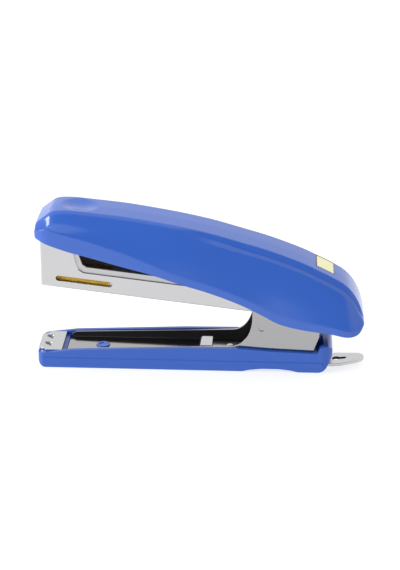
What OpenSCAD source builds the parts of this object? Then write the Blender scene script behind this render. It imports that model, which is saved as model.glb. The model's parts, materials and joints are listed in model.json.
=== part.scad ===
// Compact stapler for No. 10 size staples. +Z is up, the nose points toward -X, and the
// origin is at the middle of the footprint, on the surface the stapler stands on.
// The magazine parts are drawn in their own frame: origin on the hinge axis, -X along the
// magazine to the nose.

/* [Overall] */
// Length from the nose of the base to the tip of the staple remover
overall_len = 112.5; // [95:0.5:135]
// Height of the top of the handle cover
overall_h = 56.7; // [50:0.2:70]

/* [Hinge] */
// Hinge axis ahead of the rear end
hinge_from_rear = 22.35; // [18:0.25:28]
// Hinge axis above the table
hinge_h = 21.7; // [19.5:0.1:25]
// Diameter of the hinge pin
pin_d = 3; // [2:0.1:3.6]
// Radial running clearance on the pin
pin_clear = 0.05; // [0.03:0.01:0.09]

/* [Magazine] */
// Height of the magazine's side plates
mag_h = 6.3; // [5.8:0.1:8]
// Sheet thickness of the magazine
mag_sheet = 0.5; // [0.4:0.05:0.8]
// Sheet thickness of the inner track
track_sheet = 0.4; // [0.3:0.05:0.6]
// Height of the track's walls above the side plates
track_rise = 2; // [1:0.1:3]
// Height of the hinge axis above the magazine's bottom edge
mag_drop = 3.2; // [2.9:0.1:4]
// Upward slope of the magazine at rest, degrees
mag_tilt = 6.65; // [5:0.05:10]
// Room above the magazine's nose plates for the stroke of the arm
nose_gap = 6.4; // [6:0.1:10]
// Length of the window slot
window_len = 19.5; // [10:0.1:22]
// Height of the window slot
window_h = 1.9; // [1.2:0.1:2.6]

/* [Staples] */
// Outer width of a staple
staple_w = 8.5; // [7.6:0.1:10.4]
// Clearance beside the staples in the track
staple_clear = 0.15; // [0.05:0.05:0.4]
// Height of a staple
staple_h = 5; // [4.4:0.1:5.4]
// Wire thickness of a staple
staple_wire = 0.45; // [0.35:0.05:0.6]
// Length of the loaded strip
strip_len = 21.5; // [5:0.2:40]
// Diameter of the guide rod
rod_d = 2; // [1.4:0.1:2.4]

/* [Base] */
// Plastic beside the steel channel
shell_wall = 1.5; // [1.2:0.1:3]
// Height of the plastic base shell's sides
base_h = 8.4; // [7.6:0.1:9.4]
// Distance from the rear end to the heel of the base shell
base_rear_gap = 11; // [9:0.2:13]
// Sheet thickness of the base channel
channel_sheet = 1; // [0.8:0.05:1.2]
// Length of the anvil plate
anvil_len = 8.2; // [7:0.1:10]
// Width of the staple remover
remover_w = 9.3; // [7:0.1:11]

/* [Handle] */
// Width of the handle cover
cover_w = 26; // [25:0.2:32]
// Width of the flat on top of the cover
cover_top_w = 14.8; // [10:0.2:18]
// Wall of the handle cover
cover_wall = 1.6; // [1.2:0.1:2.2]
// Sheet thickness of the handle arm
arm_sheet = 0.8; // [0.6:0.05:1]
// Clearance between the magazine and the arm's flanges
arm_gap = 0.4; // [0.2:0.05:0.8]
// Clearance between the arm's flanges and the base's ears
ear_gap = 0.5; // [0.2:0.05:1]
// Thickness of the driver blade
blade_t = 0.5; // [0.4:0.05:0.6]

/* [Hidden] */
$fn = 48;

nose_x = -overall_len / 2;
rear_x = overall_len / 2;
hinge_x = rear_x - hinge_from_rear;

// widths, from the staple outwards
inner_y = staple_w / 2 + staple_clear;
track_y = inner_y + track_sheet;
plate_y = track_y + mag_sheet;
arm_in = plate_y + arm_gap;
arm_out = arm_in + arm_sheet;
channel_in = arm_out + ear_gap;
channel_w = 2 * (channel_in + channel_sheet);
base_w = channel_w + 2 * shell_wall;

// base
shell_nose = nose_x;
heel_x = rear_x - base_rear_gap;
heel_len = 5.1;
floor_z = base_h - 3.8;
plate_z = floor_z - channel_sheet;
channel_fit = 0.05;
channel_nose = shell_nose + anvil_len + 1.4;
ear_rear = hinge_x + 6.6;
ear_front = hinge_x - 16.3;
ear_top = hinge_h + 5;
anvil_t = 1;
anvil_top = floor_z + 1.4;
line_z = 3.7;
line_depth = 0.15;
pocket_r = 1.6;
pocket_depth = 0.6;
stud_x = channel_nose + 12.2;
stud_d = 4.6;
remover_t = 1;
remover_z = 0.3;
remover_root = heel_x - 13;
remover_hole = [rear_x - 8.2, 2.7, 1.6];
remover_rise = 1.2;
remover_tip_r = remover_w * 0.36;
remover_rivet_x = heel_x - 8;
remover_rivet_d = 3;

// magazine, in its own frame
bottom_z = -mag_drop;
track_floor = bottom_z + mag_sheet;
staple_floor = track_floor + track_sheet;
mag_front = -(hinge_x - nose_x - 1.3);
driver_r = -mag_front - mag_sheet - 0.15;
throat = blade_t + 0.5;
strip_front = throat - driver_r;
strip_rear = strip_front + strip_len;
rod_z = staple_floor + 2.1;
holder_x = -17;
holder_len = 3;
holder_h = 4.4;
pusher_len = 11;
coil_wire = 0.45;
coil_r = rod_d / 2 + 0.2 + coil_wire / 2;
coil_turns = 14;

// handle
cover_front = nose_x + 0.5;
cover_len = rear_x - 0.7 - cover_front;
cover_tail = hinge_h - 7.3;
arm_top = overall_h - cover_wall - 3.2;

// Hermite curve through [x, z] points, and its helpers
function chord(p, i, j) = (p[j][1] - p[i][1]) / (p[j][0] - p[i][0]);
function slope(p, i) = chord(p, max(i - 1, 0), min(i + 1, len(p) - 1));
function piece(p, x, i = 0) = (i >= len(p) - 2 || x < p[i + 1][0]) ? i : piece(p, x, i + 1);
function ease(a, b, ta, tb, t) =
    a * (2 * t ^ 3 - 3 * t ^ 2 + 1) + ta * (t ^ 3 - 2 * t ^ 2 + t)
    + b * (3 * t ^ 2 - 2 * t ^ 3) + tb * (t ^ 3 - t ^ 2);
function curve(p, x) =
    let (i = piece(p, x), h = p[i + 1][0] - p[i][0])
    ease(p[i][1], p[i + 1][1], slope(p, i) * h, slope(p, i + 1) * h, (x - p[i][0]) / h);

// Outline of a strip of sheet that follows a line of [x, z] points
function unit(v) = v / norm(v);
function side(p, i) =
    let (d = unit(p[min(i + 1, len(p) - 1)] - p[max(i - 1, 0)])) [-d[1], d[0]];
function strip_outline(p, t) = concat(
    [for (i = [0 : len(p) - 1]) p[i] + side(p, i) * t / 2],
    [for (i = [len(p) - 1 : -1 : 0]) p[i] - side(p, i) * t / 2]);
function arc(c, r, from, to, steps = 10) =
    [for (i = [0 : steps]) c + r * [cos(from + (to - from) * i / steps), sin(from + (to - from) * i / steps)]];

// An outline drawn in X and Z, made wide across the stapler
module across(width) {
    translate([0, width / 2, 0]) rotate([90, 0, 0]) linear_extrude(width) children();
}

module round_pin(d, width, x = 0, z = 0, y = 0) {
    translate([x, y + width / 2, z]) rotate([90, 0, 0]) cylinder(d = d, h = width);
}

module in_magazine() {
    translate([hinge_x, 0, hinge_h]) rotate([0, mag_tilt, 0]) children();
}

// ---- base ----

// side view: an arch under the hinge, and a heel that leans in towards its foot
function shell_side() = concat(
    arc([shell_nose + 2.6, 2.6], 2.6, 180, 270, 6),
    [[hinge_x - 19.6, 0], [hinge_x - 17, 0.6], [hinge_x - 13, 1.05], [hinge_x - 7, 1.05],
     [hinge_x - 3, 0.6], [hinge_x - 0.4, 0]],
    arc([heel_x - 5.2, 3.8], 3.8, 270, 325, 6),
    [[heel_x - 0.9, 3.9], [heel_x - 0.25, 5.2]],
    arc([heel_x - heel_len / 2, base_h - 1.4], heel_len / 2, 0, 180, 12),
    [[heel_x - heel_len, base_h - 1.4], [hinge_x - 10, base_h - 0.8], [hinge_x - 22, base_h],
     [hinge_x - 40, base_h - 0.2], [shell_nose + 12, base_h - 1.8], [shell_nose, floor_z + 0.4]]);

// plan view: small radii at the nose, larger ones at the heel
nose_r = 2.4;
heel_r = 4;
module shell_plan() {
    hull() for (end = [-1, 1]) {
        translate([shell_nose + nose_r, end * (base_w / 2 - nose_r)]) circle(nose_r);
        translate([heel_x - heel_r, end * (base_w / 2 - heel_r)]) circle(heel_r);
    }
}

module base_shell() {
    color([0.16, 0.33, 0.72]) difference() {
        intersection() {
            across(base_w) polygon(shell_side());
            linear_extrude(base_h * 2) shell_plan();
        }
        // a shallow style line along each side
        for (end = [-1, 1]) scale([1, end, 1]) translate([shell_nose - 1, 0, 0])
            rotate([90, 0, 90]) linear_extrude(heel_x - shell_nose + 2)
                polygon([[base_w / 2 + 1, line_z - 0.35], [base_w / 2, line_z - 0.35],
                         [base_w / 2 - line_depth, line_z], [base_w / 2, line_z + 0.35],
                         [base_w / 2 + 1, line_z + 0.35]]);
        // seat of the steel channel and, ahead of it, of the anvil plate
        translate([channel_nose - channel_fit, -channel_w / 2 - channel_fit, plate_z])
            cube([ear_rear - channel_nose + 2 * channel_fit, channel_w + 2 * channel_fit, base_h * 2]);
        translate([shell_nose - 1, -channel_w / 2 - channel_fit, anvil_top - anvil_t])
            cube([channel_nose - shell_nose + 2, channel_w + 2 * channel_fit, base_h]);
        // slot of the staple remover, and its rivet's hole
        translate([remover_root - 0.1, -remover_w / 2 - 0.1, -1])
            cube([heel_x, remover_w + 0.2, 1 + remover_z + remover_t + 0.05]);
        translate([remover_rivet_x, 0, -1]) cylinder(d = remover_rivet_d, h = plate_z + 2);
        translate([stud_x, 0, 1.5]) cylinder(d = stud_d - 1.6, h = plate_z);
        // hollow underside, in two bays with a rib between
        for (bay = [[shell_nose + 6, hinge_x - 46], [hinge_x - 44, remover_root - 3]])
            translate([bay[0], -base_w / 2 + 2.4, -1]) cube([bay[1] - bay[0], base_w - 4.8, 2.2]);
    }
}

function ear_side() = concat(
    [[channel_nose, plate_z], [ear_rear - 3.2, plate_z], [ear_rear, plate_z + 9]],
    arc([ear_rear - 4, ear_top - 4], 4, 0, 90, 8),
    arc([ear_front + 5, ear_top - 5], 5, 90, 180, 8),
    [for (p = arc([0, 0], 1, 0, -90, 10)) [ear_front - 7 + 7 * p[0], base_h + 10.5 + 10.5 * p[1]]],
    [[channel_nose + 1.8, base_h - 2], [channel_nose, floor_z + 0.3]]);

module base_channel() {
    color([0.8, 0.8, 0.82]) difference() {
        across(channel_w) polygon(ear_side());
        translate([channel_nose - 1, -channel_in, floor_z])
            cube([ear_rear - channel_nose + 2, 2 * channel_in, ear_top * 2]);
        round_pin(pin_d, channel_w + 2, hinge_x, hinge_h);
        translate([stud_x, 0, 0]) cylinder(d = stud_d + 0.2, h = base_h);
        translate([spring_rivet_x, 0, 0]) cylinder(d = rivet_d, h = base_h);
        for (end = [-1, 1])
            round_pin(2.3, 0.6, hinge_x - 13, hinge_h - 6.1, end * channel_w / 2);
    }
}

module anvil_plate() {
    color([0.82, 0.82, 0.84]) difference() {
        translate([shell_nose, 0, anvil_top - anvil_t]) linear_extrude(anvil_t) polygon(concat(
            [[anvil_len, -channel_w / 2], [anvil_len, channel_w / 2]],
            arc([0, channel_w / 2], 2.4, 0, -90, 8),
            arc([0, -channel_w / 2], 2.4, 90, 0, 8)));
        // two pockets that turn the staple's legs inward
        for (end = [-1, 1])
            translate([nose_hit_x, end * (staple_w / 2 - 1.2), anvil_top + pocket_r - pocket_depth])
                rotate([90, 0, 0]) cylinder(r = pocket_r, h = 3.4, center = true);
    }
}

module channel_stud() {
    color([0.14, 0.3, 0.68]) translate([stud_x, 0, 0]) difference() {
        union() {
            translate([0, 0, 1.5]) cylinder(d = stud_d - 1.6, h = plate_z - 1.5);
            translate([0, 0, plate_z]) cylinder(d = stud_d, h = channel_sheet + 0.45);
        }
        translate([0, 0, floor_z + 0.15]) cylinder(d = stud_d - 1.8, h = 2);
    }
}

// leaf spring on the channel floor: a curl at the front, a flat, and a rising tail
spring_t = 0.6;
spring_w = 8;
curl_r = 0.9;
spring_front = hinge_x - 33.6;
spring_rivet_x = hinge_x - 24.1;
rivet_d = 2;
spring_tip_x = hinge_x - 8;
spring_tip_r = 3;
function mag_under(x) = hinge_h - mag_drop / cos(mag_tilt) + (hinge_x - x) * tan(mag_tilt);

function return_line() =
    let (z = floor_z + spring_t / 2, tip = mag_under(spring_tip_x) - spring_t / 2 - 0.1 - spring_tip_r)
    concat(
        [[spring_front + 3.4, z + 2 * curl_r]],
        arc([spring_front, z + curl_r], curl_r, 90, 270, 8),
        [[hinge_x - 21, z], [hinge_x - 19.5, z + 0.25]],
        arc([spring_tip_x, tip], spring_tip_r, 140, 50, 8));

module return_spring() {
    color([0.78, 0.78, 0.8]) difference() {
        across(spring_w) polygon(strip_outline(return_line(), spring_t));
        translate([spring_rivet_x, 0, 0]) cylinder(d = rivet_d, h = floor_z + 1.2);
    }
}

module spring_rivet() {
    color([0.7, 0.7, 0.72]) translate([spring_rivet_x, 0, 0]) {
        translate([0, 0, plate_z]) cylinder(d = rivet_d, h = channel_sheet + spring_t + 0.01);
        translate([0, 0, floor_z + spring_t]) cylinder(d1 = rivet_d + 1.4, d2 = rivet_d, h = 0.6);
    }
}

module staple_remover() {
    mid = remover_z + remover_t / 2;
    color([0.8, 0.8, 0.82]) difference() {
        intersection() {
            across(remover_w) polygon(strip_outline(
                [[remover_root, mid], [heel_x, mid], [heel_x + 3, mid + remover_rise / 5],
                 [rear_x, mid + remover_rise]], remover_t));
            linear_extrude(base_h) polygon(concat(
                [[remover_root, -remover_w / 2], [heel_x + 2.5, -remover_w / 2]],
                arc([rear_x - remover_tip_r, 0], remover_tip_r, -70, 70, 12),
                [[heel_x + 2.5, remover_w / 2], [remover_root, remover_w / 2]]));
        }
        translate([remover_hole[0], 0, -1]) linear_extrude(4) {
            translate([-remover_hole[1] / 2, 0]) circle(d = remover_hole[2] + 1.2);
            translate([remover_hole[1] / 2, 0]) circle(d = remover_hole[2]);
            translate([-remover_hole[1] / 2, -remover_hole[2] / 2])
                square([remover_hole[1], remover_hole[2]]);
        }
        translate([remover_rivet_x, 0, -1]) cylinder(d = remover_rivet_d, h = 4);
    }
}

module remover_rivet() {
    color([0.7, 0.7, 0.72]) translate([remover_rivet_x, 0, remover_z])
        cylinder(d = remover_rivet_d, h = plate_z - remover_z);
}

module hinge_pin() {
    color([0.75, 0.75, 0.78]) round_pin(pin_d, channel_w + 1.6, hinge_x, hinge_h);
}

module pin_clips() {
    color([0.3, 0.3, 0.32]) for (end = [-1, 1]) difference() {
        round_pin(pin_d + 2.6, 0.6, hinge_x, hinge_h, end * (channel_w / 2 + 0.3));
        round_pin(pin_d, 2, hinge_x, hinge_h, end * (channel_w / 2 + 0.3));
    }
}

// where the driver meets the anvil when the nose is right down
nose_down = asin((anvil_top + 0.3 + mag_drop - hinge_h) / -mag_front);
nose_hit_x = hinge_x - driver_r * cos(nose_down);

// ---- magazine ----

// top of the nose plates in the magazine's frame: it keeps its room under the arm's top plate
nose_top = (arm_top - nose_gap - hinge_h + mag_front * sin(mag_tilt)) / cos(mag_tilt);

// side plate: a low channel wall that steps up to the tall nose, whose front stands upright
nose_lean = tan(mag_tilt);
function plate_side(rise, rear) =
    let (top = bottom_z + mag_h + rise, high = nose_top - rise * 0.4, step = mag_front + rise * 0.5)
    [[mag_front, bottom_z], [rear, bottom_z], [rear, bottom_z + mag_h], [-13, bottom_z + mag_h],
     [-15, top], [step + 14, top], [step + 12.2, top + 0.9], [step + 10.8, top + 3.8],
     [step + 8.6, high], [mag_front - nose_lean * (high - bottom_z), high]];

module window_cut() {
    r = window_h / 2;
    x = mag_front + 4.7 + r;
    across(2 * plate_y + 2) {
        translate([x, 0.1]) circle(r = r);
        translate([x + window_len - 2 * r, 0.1]) circle(r = r);
        translate([x, 0.1 - r]) square([window_len - 2 * r, window_h]);
    }
}

module magazine_housing() {
    color([0.82, 0.82, 0.84]) in_magazine() difference() {
        across(2 * plate_y) polygon(plate_side(0, 4.4));
        across(2 * track_y) polygon([
            [mag_front + mag_sheet, track_floor], [10, track_floor], [10, nose_top * 2],
            [mag_front + mag_sheet - nose_lean * (nose_top * 2 - track_floor), nose_top * 2]]);
        // throat where the staple leaves
        translate([mag_front + mag_sheet, -track_y, bottom_z - 1])
            cube([throat + 0.5, 2 * track_y, 3]);
        window_cut();
        round_pin(pin_d + 2 * pin_clear, 2 * plate_y + 2);
    }
}

module staple_track() {
    front = mag_front + mag_sheet + throat + 0.6;
    color([0.76, 0.76, 0.78]) in_magazine() difference() {
        across(2 * track_y) intersection() {
            polygon(plate_side(track_rise, 4.4));
            translate([front, track_floor]) square([-front - 8, nose_top * 2]);
        }
        translate([front - 1, -inner_y, staple_floor]) cube([-front, 2 * inner_y, nose_top * 2]);
        window_cut();
    }
}

module staple_strip() {
    color([0.83, 0.66, 0.24]) in_magazine() {
        translate([strip_front, -staple_w / 2, staple_floor + staple_h - staple_wire])
            cube([strip_len, staple_w, staple_wire]);
        for (end = [-1, 1])
            translate([strip_front, end * (staple_w / 2 - staple_wire / 2) - staple_wire / 2, staple_floor])
                cube([strip_len, staple_wire, staple_h - staple_wire]);
    }
}

module guide_rod() {
    front = strip_front + 2;
    color([0.7, 0.7, 0.72]) in_magazine() translate([front, 0, rod_z]) rotate([0, 90, 0])
        cylinder(d = rod_d, h = holder_x + holder_len - front);
}

module rod_holder() {
    color([0.6, 0.6, 0.63]) in_magazine() difference() {
        translate([holder_x, -inner_y, staple_floor]) cube([holder_len, 2 * inner_y, holder_h]);
        translate([holder_x - 1, 0, rod_z]) rotate([0, 90, 0]) cylinder(d = rod_d, h = holder_len + 2);
    }
}

module hinge_bush() {
    color([0.65, 0.65, 0.68]) in_magazine() difference() {
        round_pin(pin_d + 1.6, 2 * track_y);
        round_pin(pin_d + 2 * pin_clear, 2 * plate_y);
    }
}

module pusher() {
    wall = 0.6;
    low = staple_floor + 0.1;
    w = 2 * inner_y - 0.3;
    color([0.85, 0.85, 0.87]) in_magazine() difference() {
        translate([strip_rear + 0.02, -w / 2, low]) cube([pusher_len, w, staple_h - 0.1]);
        translate([strip_rear - 1, -w / 2 + wall, low - 1]) cube([pusher_len - 1, w - 2 * wall, staple_h - 0.1]);
        translate([strip_rear - 1, 0, rod_z]) rotate([0, 90, 0])
            cylinder(d = rod_d + 0.16, h = pusher_len + 3);
    }
}

module pusher_spring() {
    from = strip_rear + pusher_len + 0.05 + coil_wire / 2;
    to = holder_x - 0.05 - coil_wire / 2;
    color([0.72, 0.72, 0.74]) in_magazine() for (i = [0 : coil_turns])
        translate([from + (to - from) * i / coil_turns, 0, rod_z]) rotate([0, 90, 0])
            rotate_extrude() translate([coil_r, 0]) circle(d = coil_wire, $fn = 16);
}

// ---- handle ----

// line along the top of the cover and along its lower edge, as shares of its length and height
top_line = [
    [0, 0.892], [0.028, 0.949], [0.052, 0.991], [0.1, 1], [0.165, 0.985], [0.26, 0.959],
    [0.35, 0.923], [0.44, 0.881], [0.53, 0.829], [0.62, 0.762], [0.71, 0.691], [0.81, 0.592],
    [0.86, 0.529], [0.9, 0.476], [0.936, 0.419], [0.96, 0.358], [0.98, 0.275], [1, 0.147]];
edge_line = [
    [0, 0.796], [0.037, 0.756], [0.1, 0.698], [0.165, 0.652], [0.26, 0.582], [0.35, 0.518],
    [0.44, 0.44], [0.53, 0.368], [0.62, 0.277], [0.69, 0.186], [0.74, 0.115], [0.81, 0.068],
    [0.9, 0.034], [0.95, 0.008], [0.98, 0.022], [1, 0.08]];
cover_points = 44;

function cover_x(t) = cover_front + cover_len * t;
function cover_z(f) = cover_tail + (overall_h - cover_tail) * f;
function station(i) =
    let (u = i / cover_points) u < 0.5 ? 2 * u * u * 0.9 + u * 0.1 : 1 - 2 * (1 - u) ^ 2;
// half width at the lower edge: rounded in at the nose and at the tail
function cover_half(t) =
    cover_w / 2 - 2.2 * (1 - min(t / 0.05, 1)) ^ 2 - 2.4 * (max(t - 0.93, 0) / 0.07) ^ 2;
function dimple(t, y) =
    let (d = ((t - 0.13) / 0.058) ^ 2 + (y / 6.2) ^ 2) d < 1 ? 0.7 * (1 - d) ^ 2 : 0;

// one cross section, from the near lower edge over the top to the far one
function section(t, wall, drop) =
    let (
        half = cover_half(t) - wall,
        top = cover_z(curve(top_line, t)) - wall,
        low = cover_z(curve(edge_line, t)) + drop,
        flat = min(cover_top_w / 2, half - 3.4),
        h = max(top - low, 0.6),
        drops = [for (d = [0.25, 0.9, 1.9, 3.4, 6]) d * min(h / 9, 1)],
        outs = [0, 0.42, 0.66, 0.82, 0.91],
        near = concat(
            [[half, low], [flat + (half - flat) * 0.96, low + (h - drops[4]) * 0.5]],
            [for (k = [4 : -1 : 0]) [flat + (half - flat) * outs[k], top - drops[k]]]),
        crown = [for (k = [2, 1]) let (y = flat * k / 3) [y, top - dimple(t, y) * (wall > 0 ? 0.6 : 1)]])
    concat(near, crown, [[0, top - dimple(t, 0) * (wall > 0 ? 0.6 : 1)]],
        [for (k = [1 : -1 : 0]) [-crown[k][0], crown[k][1]]],
        [for (k = [len(near) - 1 : -1 : 0]) [-near[k][0], near[k][1]]]);

function inner_t(t) = (t * (cover_len - 2 * cover_wall) + cover_wall) / cover_len;
section_points = 19;

module handle_cover() {
    n = cover_points + 1;
    m = section_points;
    outer = [for (i = [0 : cover_points]) let (t = station(i))
        for (p = section(t, 0, 0)) [cover_x(t), p[0], p[1]]];
    inner = [for (i = [0 : cover_points]) let (t = inner_t(station(i)))
        for (p = section(t, cover_wall, 0)) [cover_x(t), p[0], p[1]]];
    skin = [for (i = [0 : n - 2]) for (j = [0 : m - 2])
        [i * m + j, i * m + j + 1, (i + 1) * m + j + 1, (i + 1) * m + j]];
    faces = concat(
        skin,
        [[for (j = [m - 1 : -1 : 0]) j]],
        [[for (j = [0 : m - 1]) (n - 1) * m + j]],
        [for (f = skin) [for (k = [3 : -1 : 0]) f[k] + n * m]],
        [[for (j = [0 : m - 1]) n * m + j]],
        [[for (j = [m - 1 : -1 : 0]) n * m + (n - 1) * m + j]],
        [for (i = [0 : n - 2]) [i * m, (i + 1) * m, n * m + (i + 1) * m, n * m + i * m]],
        [for (i = [0 : n - 2]) let (a = i * m + m - 1, b = a + m) [b, a, n * m + a, n * m + b]],
        [[m - 1, 0, n * m, n * m + m - 1]],
        [[(n - 1) * m, (n - 1) * m + m - 1, n * m + (n - 1) * m + m - 1, n * m + (n - 1) * m]]);
    color([0.18, 0.36, 0.76]) polyhedron(concat(outer, inner), faces, convexity = 4);
}

label_t = 0.878;
label_len = 6.8;
label_w = 10.4;
module cover_label() {
    rise = cover_z(curve(top_line, label_t + 0.03)) - cover_z(curve(top_line, label_t - 0.03));
    color([0.97, 0.92, 0.55]) translate([cover_x(label_t), 1.6, cover_z(curve(top_line, label_t)) + 0.14])
        rotate([0, -atan2(rise, cover_len * 0.06), 0])
            translate([-label_len / 2, -label_w / 2, 0]) cube([label_len, label_w, 0.15]);
}

// steel arm: an upturned channel, deep at the nose and round the hinge
arm_front = nose_x + 7.4;
arm_ear_r = 4.4;
arm_ridge = [
    [hinge_x + arm_ear_r * cos(45), hinge_h + arm_ear_r * sin(45)], [hinge_x - 8, cover_z(0.4)],
    [hinge_x - 26, cover_z(0.6)], [hinge_x - 50, cover_z(0.8)], [nose_x + 24, arm_top],
    [arm_front, arm_top]];

module handle_arm() {
    color([0.7, 0.7, 0.73]) difference() {
        across(2 * arm_out) polygon(concat(
            arm_ridge,
            [[arm_front, cover_z(0.68)], [nose_x + 22, cover_z(0.58)],
             [hinge_x - 24, hinge_h + 8.6], [hinge_x - 9, hinge_h + 0.6]],
            arc([hinge_x, hinge_h], arm_ear_r, 225, 400, 14)));
        // hollow between the flanges, leaving the top plate, which ends ahead of the hinge
        translate([0, 0, -arm_sheet]) across(2 * arm_in) polygon(concat(
            [[hinge_x + 12, 0], [hinge_x + 12, overall_h], [hinge_x - 6, overall_h]],
            [for (k = [1 : len(arm_ridge) - 1]) arm_ridge[k]],
            [[arm_front - 1, arm_top], [arm_front - 1, 0]]));
        round_pin(pin_d + 2 * pin_clear, 2 * arm_out + 2, hinge_x, hinge_h);
        for (x = blade_rivet_x) translate([x, 0, arm_top - 3]) cylinder(d = rivet_d, h = 6);
        on_ridge(ridge_rivet) translate([0, 0, -3]) cylinder(d = rivet_d, h = 6);
    }
}

// a place along the sloping stretch of the arm's ridge, with Z square to the plate and outward
ridge_rivet = 0.2;
function on_ridge_at(f) = arm_ridge[2] + (arm_ridge[3] - arm_ridge[2]) * f;
ridge_slope = -atan2(arm_ridge[3][1] - arm_ridge[2][1], arm_ridge[3][0] - arm_ridge[2][0]);
module on_ridge(f) {
    at = on_ridge_at(f);
    translate([at[0], 0, at[1]]) rotate([0, ridge_slope + 180, 0]) children();
}

blade_rivet_x = [arm_front + 4.5, arm_front + 9.5];

// the blade is bent to an arc about the hinge, so it runs true in the throat
module driver_blade() {
    low = asin((staple_floor + staple_h + 0.3) / driver_r) + mag_tilt;
    tab_z = arm_top - arm_sheet;
    tab_end = arm_front + 13 - hinge_x;
    high = asin((tab_z - hinge_h) / driver_r);
    inner_r = driver_r - blade_t;
    inner_high = asin((tab_z - blade_t - hinge_h) / inner_r);
    color([0.66, 0.66, 0.7]) difference() {
        translate([hinge_x, 0, hinge_h]) across(staple_w - 0.1) polygon(concat(
            arc([0, 0], driver_r, 180 - low, 180 - high, 14),
            [[tab_end, tab_z - hinge_h], [tab_end, tab_z - blade_t - hinge_h]],
            arc([0, 0], inner_r, 180 - inner_high, 180 - low, 14)));
        for (x = blade_rivet_x) translate([x, 0, arm_top - 3]) cylinder(d = rivet_d, h = 6);
    }
}

module blade_rivets() {
    color([0.6, 0.6, 0.62]) for (x = blade_rivet_x) translate([x, 0, arm_top]) {
        translate([0, 0, -arm_sheet - blade_t]) cylinder(d = rivet_d, h = arm_sheet + blade_t);
        cylinder(d1 = rivet_d + 1.4, d2 = rivet_d, h = 0.6);
    }
}

// leaf spring from the arm down to the rod holder
arm_spring_t = 0.5;
arm_spring_w = 5;
function arm_spring_line() =
    let (
        down = unit([sin(ridge_slope + 180), cos(ridge_slope + 180)]) * -1,
        flush = down * (arm_sheet + arm_spring_t / 2),
        rest = [hinge_x, hinge_h] + [holder_x + holder_len / 2, staple_floor + holder_h + 0.9]
            * [[cos(mag_tilt), -sin(mag_tilt)], [sin(mag_tilt), cos(mag_tilt)]])
    [on_ridge_at(0.32) + flush, on_ridge_at(0.08) + flush, on_ridge_at(-0.1) + flush + [0, -0.6],
     rest + [-3.2, 5.2], rest + [-1.2, 1.2], rest + [0, 0.1], rest + [1.4, 0.9]];

module handle_spring() {
    color([0.75, 0.75, 0.78]) difference() {
        across(arm_spring_w) polygon(strip_outline(arm_spring_line(), arm_spring_t));
        on_ridge(ridge_rivet) translate([0, 0, -3]) cylinder(d = rivet_d, h = 6);
    }
}

module handle_spring_rivet() {
    color([0.6, 0.6, 0.62]) on_ridge(ridge_rivet) {
        translate([0, 0, -arm_sheet - arm_spring_t]) cylinder(d = rivet_d, h = arm_sheet + arm_spring_t);
        cylinder(d1 = rivet_d + 1.4, d2 = rivet_d, h = 0.6);
    }
}

// height of the arm's ridge under a stud at x
stud_r = 2;
function arm_ridge_z(x) = max([for (k = [2 : 3]) let (a = arm_ridge[k], b = arm_ridge[k + 1])
    for (end = [x - stud_r, x + stud_r]) if (end <= a[0] && end >= b[0])
        a[1] + (b[1] - a[1]) * (end - a[0]) / (b[0] - a[0])]);

// studs moulded with the cover, pressed on the arm's top plate
module cover_studs() {
    color([0.16, 0.33, 0.7]) for (x = [nose_x + 26, hinge_x - 40]) {
        low = arm_ridge_z(x) + 0.05;
        top = cover_z(curve(top_line, (x - cover_front) / cover_len)) - cover_wall + 0.3;
        translate([x, 0, low]) cylinder(r = stud_r, h = top - low);
    }
}

base_shell();
base_channel();
anvil_plate();
channel_stud();
return_spring();
spring_rivet();
staple_remover();
remover_rivet();
hinge_pin();
pin_clips();
magazine_housing();
staple_track();
staple_strip();
guide_rod();
rod_holder();
hinge_bush();
pusher();
pusher_spring();
handle_cover();
cover_label();
handle_arm();
driver_blade();
blade_rivets();
handle_spring();
handle_spring_rivet();
cover_studs();
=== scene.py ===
"""Compact stapler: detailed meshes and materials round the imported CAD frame.

Lengths in the settings are millimetres. Objects are in metres, +Z up, nose toward -X.
"""

import json
import math

import bmesh
import bpy
import numpy as np
from bpy.props import FloatProperty, FloatVectorProperty, IntProperty, PointerProperty
from mathutils import Matrix, Vector

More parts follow.
